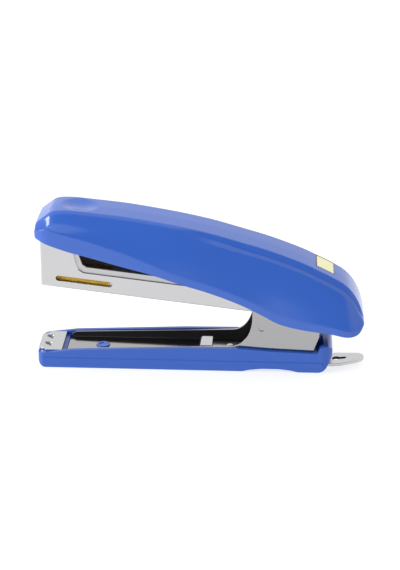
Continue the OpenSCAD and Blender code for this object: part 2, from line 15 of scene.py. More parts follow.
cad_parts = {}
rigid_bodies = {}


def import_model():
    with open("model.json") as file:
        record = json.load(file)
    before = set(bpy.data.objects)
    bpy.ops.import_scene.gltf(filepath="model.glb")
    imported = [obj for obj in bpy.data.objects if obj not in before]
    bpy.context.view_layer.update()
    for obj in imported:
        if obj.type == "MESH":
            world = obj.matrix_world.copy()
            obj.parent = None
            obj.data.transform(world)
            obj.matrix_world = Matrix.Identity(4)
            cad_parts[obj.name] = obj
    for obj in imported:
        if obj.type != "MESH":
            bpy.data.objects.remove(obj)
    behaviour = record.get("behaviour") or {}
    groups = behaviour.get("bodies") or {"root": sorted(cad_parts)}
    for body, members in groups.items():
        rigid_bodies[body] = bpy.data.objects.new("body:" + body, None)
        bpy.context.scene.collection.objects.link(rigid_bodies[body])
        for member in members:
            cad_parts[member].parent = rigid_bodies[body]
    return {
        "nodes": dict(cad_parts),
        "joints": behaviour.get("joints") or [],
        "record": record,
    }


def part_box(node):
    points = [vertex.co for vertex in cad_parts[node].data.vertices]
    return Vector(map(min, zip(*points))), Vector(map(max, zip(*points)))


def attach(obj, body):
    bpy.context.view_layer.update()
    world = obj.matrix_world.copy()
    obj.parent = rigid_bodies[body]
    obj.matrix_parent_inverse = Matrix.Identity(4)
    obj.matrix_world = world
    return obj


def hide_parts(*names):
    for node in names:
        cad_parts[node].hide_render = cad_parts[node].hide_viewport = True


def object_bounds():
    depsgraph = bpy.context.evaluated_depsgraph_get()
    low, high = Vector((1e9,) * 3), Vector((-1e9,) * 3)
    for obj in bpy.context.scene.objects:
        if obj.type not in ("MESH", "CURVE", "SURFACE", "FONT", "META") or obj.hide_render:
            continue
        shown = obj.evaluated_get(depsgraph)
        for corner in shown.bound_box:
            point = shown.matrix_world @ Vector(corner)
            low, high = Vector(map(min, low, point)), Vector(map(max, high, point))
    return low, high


bl_info = {
    "name": "Compact Stapler",
    "version": (1, 0, 0),
    "blender": (4, 5, 0),
    "location": "View3D > Sidebar > Stapler",
    "description": "Builds a compact stapler's detailed pieces, finishes and studio",
    "category": "Add Mesh",
}

for leftover in list(bpy.data.objects):
    bpy.data.objects.remove(leftover)
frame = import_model()
CAD_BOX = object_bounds()
MM = 0.001
HINGE = Vector(frame["joints"][0]["pos_m"])
SLIDE = next(j["axis"] for j in frame["joints"] if j["name"] == "pusher_slide")
TILT = math.atan2(-SLIDE[2], SLIDE[0])
# from the magazine's own frame, with its origin on the hinge, to the row's frame
IN_MAGAZINE = Matrix.Translation(HINGE) @ Matrix.Rotation(TILT, 4, "Y")


# ---------------------------------------------------------------- settings

class CoverSettings(bpy.types.PropertyGroup):
    """Sizes and colour of the handle cover."""

    wall: FloatProperty(name="Wall", description="Wall of the cover, mm", default=1.6, min=0.8, max=2.5)
    top_width: FloatProperty(
        name="Top width", description="Width of the top panel, mm", default=14.8, min=8, max=20)
    step: FloatProperty(
        name="Step", description="Height of the top panel above the sides at the rear, mm",
        default=2.6, min=0, max=4)
    skirt: FloatProperty(
        name="Skirt", description="Height of the band along the lower edge, mm", default=5.2, min=2, max=8)
    dimple: FloatProperty(
        name="Dimple", description="Depth of the thumb dimple, mm", default=0.95, min=0, max=1.5)
    crown: FloatProperty(
        name="Crown", description="Fall of the top panel from its middle to its edge, mm",
        default=0.12, min=0, max=1)
    stations: IntProperty(
        name="Stations", description="Cross sections along the cover", default=150, min=40, max=300)
    colour: FloatVectorProperty(
        name="Plastic", description="Colour of the plastic", subtype="COLOR", size=3,
        default=(0.041, 0.13, 0.55), min=0, max=1)


class SteelSettings(bpy.types.PropertyGroup):
    """Sizes and colours of the sheet metal pieces."""

    edge: FloatProperty(
        name="Edge", description="Rounding of cut edges, mm", default=0.09, min=0.02, max=0.3)
    fold: FloatProperty(
        name="Fold", description="Outer radius of folded edges, mm", default=0.9, min=0.2, max=1.5)
    wire: FloatProperty(
        name="Wire", description="Thickness of the staple wire, mm", default=0.45, min=0.3, max=0.6)
    coil_wire: FloatProperty(
        name="Coil wire", description="Radius of the pusher spring's wire, mm",
        default=0.22, min=0.1, max=0.3)
    coil_turns: IntProperty(
        name="Coil turns", description="Turns of the pusher spring", default=19, min=8, max=40)
    nickel: FloatVectorProperty(
        name="Nickel", description="Colour of the plating", subtype="COLOR", size=3,
        default=(0.58, 0.58, 0.59), min=0, max=1)
    brass: FloatVectorProperty(
        name="Staple wire", description="Colour of the staples", subtype="COLOR", size=3,
        default=(0.56, 0.36, 0.06), min=0, max=1)


class StageSettings(bpy.types.PropertyGroup):
    """Camera, floor and light."""

    elevation: FloatProperty(
        name="Elevation", description="Camera above the horizon, degrees", default=22, min=0, max=60)
    turn: FloatProperty(
        name="Turn", description="Camera turned towards the rear, degrees", default=3, min=-30, max=30)
    distance: FloatProperty(
        name="Distance", description="Camera to object", default=0.6, min=0.2, max=3, unit="LENGTH")
    lens: FloatProperty(name="Lens", description="Focal length, mm", default=110.4, min=35, max=200)
    sky: FloatProperty(name="Sky", description="Strength of the white studio", default=1.0, min=0, max=3)
    card: FloatProperty(
        name="Dark side", description="Brightness of the dark side of the studio", default=0.05, min=0, max=1)
    aim: FloatVectorProperty(
        name="Aim", description="Where the camera aims, as shares of the length and the height", size=2,
        default=(0.4942, 0.4905), min=0, max=1)
    lamp: FloatProperty(name="Lamp", description="Power of the side light, W", default=6.0, min=0, max=50)
    glow: FloatProperty(name="Glow", description="Light given off by the table", default=0.72, min=0, max=2)


# ---------------------------------------------------------------- small tools

def arc(x, z, radius, start, end, steps=10):
    """Points of an arc in the XZ plane, angles in degrees."""
    turns = [math.radians(start + (end - start) * k / steps) for k in range(steps + 1)]
    return [(x + radius * math.cos(a), z + radius * math.sin(a)) for a in turns]


def smoothstep(value, low, high):
    share = min(max((value - low) / (high - low), 0.0), 1.0)
    return share * share * (3 - 2 * share)


def mix(a, b, share):
    return a + (b - a) * share


def curve(points, x):
    """Smooth curve through (x, value) points."""
    last = len(points) - 1
    i = 0
    while i < last - 1 and x >= points[i + 1][0]:
        i += 1

    def slope(k):
        a, b = points[max(k - 1, 0)], points[min(k + 1, last)]
        return (b[1] - a[1]) / (b[0] - a[0])

    h = points[i + 1][0] - points[i][0]
    t = (x - points[i][0]) / h
    return (points[i][1] * (2 * t ** 3 - 3 * t ** 2 + 1) + slope(i) * h * (t ** 3 - 2 * t ** 2 + t)
            + points[i + 1][1] * (3 * t ** 2 - 2 * t ** 3) + slope(i + 1) * h * (t ** 3 - t ** 2))


def filleted(points, radii, steps):
    """A polyline whose inner corners are rounded, always with the same number of points."""
    made = [Vector(points[0])]
    for k in range(1, len(points) - 1):
        a, b, c = (Vector(p) for p in points[k - 1:k + 2])
        to_a, to_c = a - b, c - b
        reach = min(radii[k - 1], 0.45 * to_a.length, 0.45 * to_c.length)
        start, end = b + to_a.normalized() * reach, b + to_c.normalized() * reach
        for s in range(steps + 1):
            t = s / steps
            made.append(start * (1 - t) ** 2 + b * 2 * t * (1 - t) + end * t ** 2)
    made.append(Vector(points[-1]))
    return made


def between(points, counts):
    """The same polyline with extra points on its long stretches: counts maps a stretch to how many."""
    made = []
    for k, point in enumerate(points):
        made.append(point)
        for s in range(counts.get(k, 0)):
            made.append(point.lerp(points[k + 1], (s + 1) / (counts[k] + 1)))
    return made


def finish_mesh(bm, name, sharp=32):
    """A mesh from bm, with its normals outward and its sharp edges marked."""
    bmesh.ops.recalc_face_normals(bm, faces=bm.faces)
    mesh = bpy.data.meshes.new(name)
    bm.to_mesh(mesh)
    bm.free()
    mesh.shade_smooth()
    mesh.set_sharp_from_angle(angle=math.radians(sharp))
    return mesh


def add_piece(mesh, body, node, materials):
    """Puts a mesh on a body, in place of a CAD node."""
    piece = bpy.data.objects.new(mesh.name, mesh)
    bpy.context.scene.collection.objects.link(piece)
    for material in materials if isinstance(materials, list) else [materials]:
        mesh.materials.append(material)
    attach(piece, body)
    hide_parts(node)
    return piece


def body_of_node(node):
    return next(b for b, nodes in frame["record"]["behaviour"]["bodies"].items() if node in nodes)


def apply_modifiers(piece):
    """Makes the modified shape the piece's own mesh."""
    depsgraph = bpy.context.evaluated_depsgraph_get()
    done = bpy.data.meshes.new_from_object(piece.evaluated_get(depsgraph))
    done.name = piece.data.name
    piece.modifiers.clear()
    piece.data = done


def edge_angle(edge):
    return edge.calc_face_angle(0.0) if len(edge.link_faces) == 2 else 0.0


def round_edges(bm, width, segments, wanted=None, least=28):
    """Bevels the edges that turn more than least degrees and that wanted() picks."""
    edges = [e for e in bm.edges if edge_angle(e) > math.radians(least) and (wanted is None or wanted(e))]
    if edges:
        bmesh.ops.bevel(bm, geom=edges, offset=width, offset_type="OFFSET", segments=segments,
                        profile=0.5, affect="EDGES", clamp_overlap=True, loop_slide=True)


def refined(node, material, edge, folds=(), segments=2):
    """A CAD piece with its folds and edges rounded. folds lists (test, radius, segments)."""
    bm = bmesh.new()
    bm.from_mesh(frame["nodes"][node].data)
    bmesh.ops.remove_doubles(bm, verts=bm.verts, dist=0.002 * MM)
    bmesh.ops.dissolve_limit(
        bm, angle_limit=math.radians(0.6), verts=bm.verts, edges=bm.edges, delimit=set())
    for test, radius, steps in folds:
        round_edges(bm, radius * MM, steps, test, 50)
    round_edges(bm, edge * MM, segments)
    mesh = finish_mesh(bm, node + "_piece")
    piece = add_piece(mesh, body_of_node(node), node, material)
    # large flat faces keep their own normal next to the rounded edges
    even = piece.modifiers.new("even", "WEIGHTED_NORMAL")
    even.keep_sharp = True
    apply_modifiers(piece)
    return piece


def paint(piece, material, test):
    """Gives a second material to the faces that test(middle, normal) picks."""
    piece.data.materials.append(material)
    for face in piece.data.polygons:
        if test(face.center / MM, face.normal):
            face.material_index = 1


def tube(bm, points, radius, sides=8):
    """A round bar along points, closed at both ends."""
    rings = []
    normal = None
    for k, point in enumerate(points):
        along = (points[min(k + 1, len(points) - 1)] - points[max(k - 1, 0)]).normalized()
        if normal is None:
            normal = along.orthogonal().normalized()
        normal = (normal - along * normal.dot(along)).normalized()
        other = along.cross(normal)
        ring = []
        for s in range(sides):
            a = 2 * math.pi * s / sides
            ring.append(bm.verts.new(point + (normal * math.cos(a) + other * math.sin(a)) * radius))
        rings.append(ring)
    for a, b in zip(rings, rings[1:]):
        for s in range(sides):
            bm.faces.new((a[s], a[(s + 1) % sides], b[(s + 1) % sides], b[s]))
    bm.faces.new(rings[0][::-1])
    bm.faces.new(rings[-1])


# ---------------------------------------------------------------- materials

def new_group(name, inputs, outputs):
    """An empty shader node group with named sockets."""
    group = bpy.data.node_groups.new(name, "ShaderNodeTree")
    for label, default, low, high in inputs:
        socket = group.interface.new_socket(name=label, in_out="INPUT", socket_type="NodeSocketFloat")
        socket.default_value = default
        socket.min_value = low
        socket.max_value = high
    for label, kind in outputs:
        group.interface.new_socket(name=label, in_out="OUTPUT", socket_type=kind)
    return group, group.nodes.new("NodeGroupInput"), group.nodes.new("NodeGroupOutput")


def math_node(nodes, links, operation, a, b, clamp=False):
    node = nodes.new("ShaderNodeMath")
    node.operation = operation
    node.use_clamp = clamp
    for socket, value in zip(node.inputs, (a, b)):
        if isinstance(value, bpy.types.NodeSocket):
            links.new(value, socket)
        else:
            socket.default_value = value
    return node.outputs[0]


def noise_node(nodes, links, vector, scale, detail=3.0, rough=0.5):
    node = nodes.new("ShaderNodeTexNoise")
    node.inputs["Detail"].default_value = detail
    node.inputs["Roughness"].default_value = rough
    links.new(vector, node.inputs["Vector"])
    if isinstance(scale, bpy.types.NodeSocket):
        links.new(scale, node.inputs["Scale"])
    else:
        node.inputs["Scale"].default_value = scale
    return node.outputs["Fac"]


def handling_group():
    """Smudges, hairline scratches and dust that any finish can take."""
    group, start, end = new_group(
        "Handling",
        [("Smudge", 0.1, 0, 1), ("Scratch", 0.1, 0, 1), ("Dust", 0.0, 0, 1)],
        [("Roughness", "NodeSocketFloat"), ("Scratches", "NodeSocketFloat"), ("Dust", "NodeSocketFloat")])
    nodes, links = group.nodes, group.links
    place = nodes.new("ShaderNodeTexCoord").outputs["Object"]
    smudge = noise_node(nodes, links, place, 90.0, 4.0, 0.55)
    amount = math_node(nodes, links, "MULTIPLY", smudge, start.outputs["Smudge"])
    # two sets of hairlines, along the stapler and aslant
    lines = []
    for turn, stretch in ((0.06, 26.0), (0.9, 18.0)):
        mapping = nodes.new("ShaderNodeMapping")
        mapping.inputs["Rotation"].default_value = (0.2, turn, turn)
        mapping.inputs["Scale"].default_value = (1.0, stretch, stretch)
        links.new(place, mapping.inputs["Vector"])
        fine = noise_node(nodes, links, mapping.outputs[0], 150.0, 2.0, 0.6)
        lines.append(math_node(nodes, links, "GREATER_THAN", fine, 0.68))
    both = math_node(nodes, links, "ADD", lines[0], lines[1], clamp=True)
    scratch = math_node(nodes, links, "MULTIPLY", both, start.outputs["Scratch"])
    total = math_node(nodes, links, "ADD", amount, math_node(nodes, links, "MULTIPLY", scratch, 0.5))
    specks = math_node(nodes, links, "GREATER_THAN", noise_node(nodes, links, place, 2600.0, 1.0), 0.74)
    upward = nodes.new("ShaderNodeSeparateXYZ")
    links.new(nodes.new("ShaderNodeNewGeometry").outputs["Normal"], upward.inputs[0])
    facing = math_node(nodes, links, "MAXIMUM", upward.outputs["Z"], 0.0)
    dust = math_node(nodes, links, "MULTIPLY", math_node(nodes, links, "MULTIPLY", specks, facing),
                     start.outputs["Dust"])
    links.new(total, end.inputs["Roughness"])
    links.new(scratch, end.inputs["Scratches"])
    links.new(dust, end.inputs["Dust"])
    return group


def relief_group():
    """Slight waviness and fine grain, as a height for a Bump node."""
    group, start, end = new_group(
        "Relief",
        [("Waviness", 0.3, 0, 1), ("Grain", 0.2, 0, 1), ("Grain scale", 3000.0, 10, 20000)],
        [("Height", "NodeSocketFloat"), ("Tone", "NodeSocketFloat")])
    nodes, links = group.nodes, group.links
    place = nodes.new("ShaderNodeTexCoord").outputs["Object"]
    wave = noise_node(nodes, links, place, 60.0, 1.0)
    grain = noise_node(nodes, links, place, start.outputs["Grain scale"], 2.0)
    height = math_node(
        nodes, links, "ADD",
        math_node(nodes, links, "MULTIPLY", wave, start.outputs["Waviness"]),
        math_node(nodes, links, "MULTIPLY", grain, start.outputs["Grain"]))
    links.new(height, end.inputs["Height"])
    links.new(noise_node(nodes, links, place, 35.0, 2.0), end.inputs["Tone"])
    return group


def brushed_group():
    """Fine rolling lines along the sheet, as tone and height."""
    group, start, end = new_group(
        "Rolling lines", [("Length", 60.0, 5, 400), ("Fineness", 900.0, 50, 6000)],
        [("Lines", "NodeSocketFloat")])
    nodes, links = group.nodes, group.links
    mapping = nodes.new("ShaderNodeMapping")
    mapping.inputs["Rotation"].default_value = (0.0, TILT, 0.0)
    links.new(nodes.new("ShaderNodeTexCoord").outputs["Object"], mapping.inputs["Vector"])
    scale = nodes.new("ShaderNodeCombineXYZ")
    links.new(start.outputs["Length"], scale.inputs["X"])
    links.new(start.outputs["Fineness"], scale.inputs["Y"])
    links.new(start.outputs["Fineness"], scale.inputs["Z"])
    links.new(scale.outputs[0], mapping.inputs["Scale"])
    links.new(noise_node(nodes, links, mapping.outputs[0], 1.0, 3.0, 0.65), end.inputs["Lines"])
    return group


def make_finish(name, colour, metallic, roughness, *, smudge=0.1, scratch=0.05, dust=0.0, waviness=0.2,
                grain=0.15, bump=0.04, lines=0.0, tone=0.06, ior=1.5):
    """One material: a Principled surface with handling marks, relief and, on sheet metal, rolling lines."""
    material = bpy.data.materials.new(name)
    material.use_nodes = True
    nodes, links = material.node_tree.nodes, material.node_tree.links
    shader = nodes["Principled BSDF"]
    shader.inputs["Metallic"].default_value = metallic
    shader.inputs["IOR"].default_value = ior
    marks = nodes.new("ShaderNodeGroup")
    marks.node_tree = GROUPS["handling"]
    marks.inputs["Smudge"].default_value = smudge
    marks.inputs["Scratch"].default_value = scratch
    marks.inputs["Dust"].default_value = dust
    relief = nodes.new("ShaderNodeGroup")
    relief.node_tree = GROUPS["relief"]
    relief.inputs["Waviness"].default_value = waviness
    relief.inputs["Grain"].default_value = grain
    rough = math_node(nodes, links, "ADD", marks.outputs["Roughness"], roughness, clamp=True)
    height = relief.outputs["Height"]
    # the colour drifts a little over the surface, and fades along scratches and under dust
    tones = nodes.new("ShaderNodeMix")
    tones.data_type = "RGBA"
    tones.inputs["A"].default_value = (*[c * (1 - tone) for c in colour], 1)
    tones.inputs["B"].default_value = (*[min(c * (1 + tone), 1) for c in colour], 1)
    links.new(relief.outputs["Tone"], tones.inputs["Factor"])
    worn = nodes.new("ShaderNodeMix")
    worn.data_type = "RGBA"
    worn.inputs["B"].default_value = (*[min(c * 1.5 + 0.06, 1) for c in colour], 1)
    links.new(math_node(nodes, links, "ADD", marks.outputs["Scratches"], marks.outputs["Dust"], clamp=True),
              worn.inputs["Factor"])
    links.new(tones.outputs["Result"], worn.inputs["A"])
    if lines:
        rolled = nodes.new("ShaderNodeGroup")
        rolled.node_tree = GROUPS["rolling"]
        shade = math_node(nodes, links, "MULTIPLY", rolled.outputs["Lines"], lines)
        rough = math_node(nodes, links, "ADD", rough, math_node(nodes, links, "MULTIPLY", shade, 0.35), True)
        height = math_node(nodes, links, "ADD", height, shade)
    links.new(worn.outputs["Result"], shader.inputs["Base Color"])
    links.new(rough, shader.inputs["Roughness"])
    relief_bump = nodes.new("ShaderNodeBump")
    relief_bump.inputs["Strength"].default_value = bump
    relief_bump.inputs["Distance"].default_value = 0.0004
    links.new(height, relief_bump.inputs["Height"])
    links.new(relief_bump.outputs["Normal"], shader.inputs["Normal"])
    return material


GROUPS = {}
FINISH = {}


class STAPLER_OT_finishes(bpy.types.Operator):
    """Make the shared effects and every material"""

    bl_idname = "stapler.finishes"
    bl_label = "Finishes"

    def execute(self, context):
        cover, steel = context.scene.stapler_cover, context.scene.stapler_steel
        GROUPS["handling"] = handling_group()
        GROUPS["relief"] = relief_group()
        GROUPS["rolling"] = brushed_group()
        blue = list(cover.colour)
        nickel = list(steel.nickel)
        FINISH["blue"] = make_finish(
            "Blue glossy plastic", blue, 0.0, 0.10, smudge=0.08, scratch=0.04, dust=0.06, waviness=0.3,
            grain=0.05, bump=0.05, tone=0.04, ior=1.52)
        FINISH["base_blue"] = make_finish(
            "Blue base plastic", [c * 0.93 for c in blue], 0.0, 0.14, smudge=0.10, scratch=0.06, dust=0.08,
            waviness=0.3, grain=0.08, bump=0.05, tone=0.04, ior=1.4)
        FINISH["nickel"] = make_finish(
            "Nickel plated steel", nickel, 1.0, 0.10, smudge=0.10, scratch=0.10, waviness=0.3,
            grain=0.08, bump=0.05, lines=0.25, tone=0.03)
        FINISH["satin"] = make_finish(
            "Satin steel", [c * 0.95 for c in nickel], 1.0, 0.2, smudge=0.12, scratch=0.14,
            grain=0.3, bump=0.08, lines=0.6, tone=0.05)
        FINISH["mirror_steel"] = make_finish(
            "Channel steel", [c * 0.68 for c in nickel], 1.0, 0.08, smudge=0.05, scratch=0.06,
            waviness=0.2, grain=0.03, bump=0.03, lines=0.12, tone=0.02)
        FINISH["spring"] = make_finish(
            "Spring steel", [0.55, 0.55, 0.57], 1.0, 0.2, smudge=0.15, scratch=0.1, lines=0.4, bump=0.06)
        FINISH["staple"] = make_finish(
            "Copper tinted staple wire", list(steel.brass), 1.0, 0.24, smudge=0.15, scratch=0.12, grain=0.3,
            bump=0.08, tone=0.12)
        FINISH["label"] = make_finish(
            "Pale yellow label", [0.98, 0.92, 0.52], 0.0, 0.25, smudge=0.1, scratch=0.05, grain=0.3,
            bump=0.03, tone=0.05)
        FINISH["label_rim"] = make_finish(
            "Dark label rim", [0.12, 0.09, 0.04], 0.1, 0.35, smudge=0.1, scratch=0.08, grain=0.3, bump=0.03)
        # blackened steel for the arm and the pin clips, and also painted shade on the magazine's underside,
        # inside the base channel and in the remover's hole
        FINISH["black"] = make_finish(
            "Blackened steel and painted shade", [0.03, 0.03, 0.033], 0.6, 0.4, smudge=0.2, scratch=0.15, grain=0.4, bump=0.1)
        return {"FINISHED"}


# ---------------------------------------------------------------- handle cover

# lines along the cover, as (share of its length, share of its height)
TOP_LINE = [
    (0, 0.892), (0.028, 0.949), (0.052, 0.991), (0.1, 1), (0.165, 0.985), (0.26, 0.959),
    (0.35, 0.923), (0.44, 0.881), (0.53, 0.829), (0.62, 0.762), (0.71, 0.691), (0.81, 0.592),
    (0.86, 0.529), (0.9, 0.476), (0.936, 0.419), (0.96, 0.358), (0.98, 0.275), (1, 0.147)]
EDGE_LINE = [
    (0, 0.796), (0.037, 0.756), (0.1, 0.698), (0.165, 0.652), (0.26, 0.582), (0.35, 0.518),
    (0.44, 0.44), (0.53, 0.368), (0.62, 0.277), (0.69, 0.186), (0.74, 0.115), (0.81, 0.068),
    (0.9, 0.034), (0.95, 0.008), (0.98, 0.022), (1, 0.08)]


class Cover:
    """The outer surface of the handle cover, in millimetres. t is a share of its length."""

    low_line = 7.3                          # below the hinge, where the shares of its height start
    nose_length, nose_taper = 0.05, 2.2     # how far each side draws in at both ends
    tail_length, tail_taper = 0.07, 2.4
    nose_round, tail_round = 0.7, 1.6       # rims of the end faces
    dimple_at, dimple_long, dimple_wide = 0.13, 0.058, 6.2

    def __init__(self, settings):
        low, high = (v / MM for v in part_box("handle_cover"))
        self.settings = settings
        self.low, self.high = low, high
        self.base = HINGE.z / MM - self.low_line
        self.half = (high.y - low.y) / 2

    def x(self, t):
        return mix(self.low.x, self.high.x, t)

    def z(self, share):
        return self.base + (self.high.z - self.base) * share

    def top(self, t):
        return self.z(curve(TOP_LINE, t))

    def edge(self, t):
        return self.z(curve(EDGE_LINE, t))

    def half_width(self, t):
        nose = 1 - min(t / self.nose_length, 1)
        tail = max(t - (1 - self.tail_length), 0) / self.tail_length
        return self.half - self.nose_taper * nose ** 2 - self.tail_taper * tail ** 2

    def dimple(self, t, y):
        far = ((t - self.dimple_at) / self.dimple_long) ** 2 + (y / self.dimple_wide) ** 2
        return self.settings.dimple * (1 - far) ** 1.3 if far < 1 else 0.0

    def end_inset(self, t):
        """How far the skin is drawn in next to its end faces, which rounds their rims."""
        length = self.high.x - self.low.x
        made = 0.0
        for gap, radius in ((t * length, self.nose_round), ((1 - t) * length, self.tail_round)):
            if gap < radius:
                made = max(made, radius - math.sqrt(radius ** 2 - (radius - gap) ** 2))
        return made

    def section(self, t, wall=0.0):
        """Half of a cross section, from the middle of the top to the lower edge, as (y, z)."""
        inset = wall or self.end_inset(t)
        half, top = self.half_width(t) - inset, self.top(t) - inset
        low = min(self.edge(t) + (0 if wall else 0.6 * inset), top - 0.5)
        flat = min(self.settings.top_width / 2, self.half_width(t) - 3.4) - 0.9 * inset
        height = max(top - low, 0.8)
        # the section is drawn for 9 mm of height, and shrinks where the cover is lower
        scale = min(height / 9, 1)
        # from nose to rear the top panel rises above the sides, and the skirt fades out
        raised = smoothstep(t, 0.40, 0.66) * self.settings.step / 2.6
        late = smoothstep(t, 0.15, 0.5)
        skirt = mix(self.settings.skirt, 0.8, smoothstep(t, 0.12, 0.45)) * scale
        wall_y = flat + mix(0.8, 0.4, raised)
        wall_z = top - mix(0.9, 2.5, raised) * scale
        shoulder_y = flat + mix(2.9, 1.7, raised)
        shoulder_z = top - mix(4.2, 3.3, raised) * scale
        side_y = mix(shoulder_y, half, mix(0.6, 0.52, late))
        side_z = mix(shoulder_z, low + skirt, 0.42)
        # middle, edge of the panel, foot of its crease, shoulder, side, skirt, lower edge
        points = [(0, top), (flat, top - self.settings.crown), (wall_y, wall_z), (shoulder_y, shoulder_z),
                  (side_y, side_z), (half, low + skirt + 0.06 * height), (half - mix(0.3, 0.1, late), low)]
        radii = [mix(0.4, 0.3, raised), mix(0.8, 0.25, raised), mix(1.5, 0.5, raised), 4.0, mix(1.2, 6, late)]
        made = filleted(points, [r * scale for r in radii], 5)
        return between(made, {0: 9, 18: 1, 24: 5, len(made) - 2: 5})

    def ring(self, bm, t, x, wall=0.0):
        """The whole section at t as a row of vertices, from one lower edge to the other."""
        half = self.section(t, wall)
        row = []
        for y, z in [*[(-y, z) for y, z in half[:0:-1]], *half]:
            sunk = self.dimple(t, y) if z > self.top(t) - wall - 0.6 else 0.0
            row.append(bm.verts.new((x * MM, y * MM, (z - sunk) * MM)))
        return row


def cover_stations(count):
    """Shares along the cover, closer together at both ends."""
    return [0.5 - 0.5 * math.cos(math.pi * k / count) for k in range(count + 1)]


class STAPLER_OT_cover(bpy.types.Operator):
    """Make the handle cover and its label"""

    bl_idname = "stapler.cover"
    bl_label = "Handle cover"

    def execute(self, context):
        settings = context.scene.stapler_cover
        cover = Cover(settings)
        bm = bmesh.new()
        outer = [cover.ring(bm, t, cover.x(t)) for t in cover_stations(settings.stations)]
        inner = []
        for t in cover_stations(settings.stations):
            x = mix(cover.low.x + settings.wall, cover.high.x - settings.wall, t)
            inner.append(cover.ring(bm, (x - cover.low.x) / (cover.high.x - cover.low.x), x, settings.wall))
        for rows in (outer, inner):
            for a, b in zip(rows, rows[1:]):
                for k in range(len(a) - 1):
                    bm.faces.new((a[k], a[k + 1], b[k + 1], b[k]))
            bm.faces.new(rows[0])
            bm.faces.new(rows[-1])
        # the lower rim, between the two skins
        for k in (0, -1):
            for i in range(len(outer) - 1):
                bm.faces.new((outer[i][k], outer[i + 1][k], inner[i + 1][k], inner[i][k]))
        for i in (0, -1):
            bm.faces.new((outer[i][0], outer[i][-1], inner[i][-1], inner[i][0]))
        bmesh.ops.recalc_face_normals(bm, faces=bm.faces)
        rims = {e for rows in (outer, inner) for row in rows for v in (row[0], row[-1]) for e in v.link_edges}
        round_edges(bm, 0.3 * MM, 3, rims.__contains__, 50)
        mesh = finish_mesh(bm, "cover_skin", 40)
        add_piece(mesh, "handle", "handle_cover", FINISH["blue"])
        self.label(cover)
        return {"FINISHED"}

    def label(self, cover):
        """A thin label that follows the top panel, with a darker rim on three sides."""
        rows, columns, dark = 26, 36, 3
        low, high = (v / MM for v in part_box("cover_label"))
        start, end = ((x - cover.low.x) / (cover.high.x - cover.low.x) for x in (low.x, high.x))
        bm = bmesh.new()
        grid = [[bm.verts.new((cover.x(t) * MM, y * MM, (cover.top(t) + 0.07 - 0.12 * abs(y) / 7.4) * MM))
                 for y in np.linspace(low.y, high.y, columns + 1)]
                for t in np.linspace(start, end, rows + 1)]
        for i in range(rows):
            for j in range(columns):
                face = bm.faces.new((grid[i][j], grid[i + 1][j], grid[i + 1][j + 1], grid[i][j + 1]))
                face.material_index = int(j >= columns - dark or i in (0, rows - 1))
        mesh = finish_mesh(bm, "label_film")
        piece = add_piece(mesh, "handle", "cover_label", [FINISH["label"], FINISH["label_rim"]])
        film = piece.modifiers.new("film", "SOLIDIFY")
        film.thickness = 0.12 * MM
        film.offset = 0
        apply_modifiers(piece)


# ---------------------------------------------------------------- magazine

COIL_STEPS = 22     # points on each turn of the pusher spring


def in_magazine(point):
    """A point of the row's frame, in the magazine's own frame, in millimetres."""
    return IN_MAGAZINE.inverted() @ point / MM


def long_fold(edge, floor, width):
    """True for the two edges where a channel's floor turns up into its walls."""
    ends = [in_magazine(v.co) for v in edge.verts]
    return all(abs(p.z - floor) < 0.02 and abs(abs(p.y) - width) < 0.02 for p in ends)


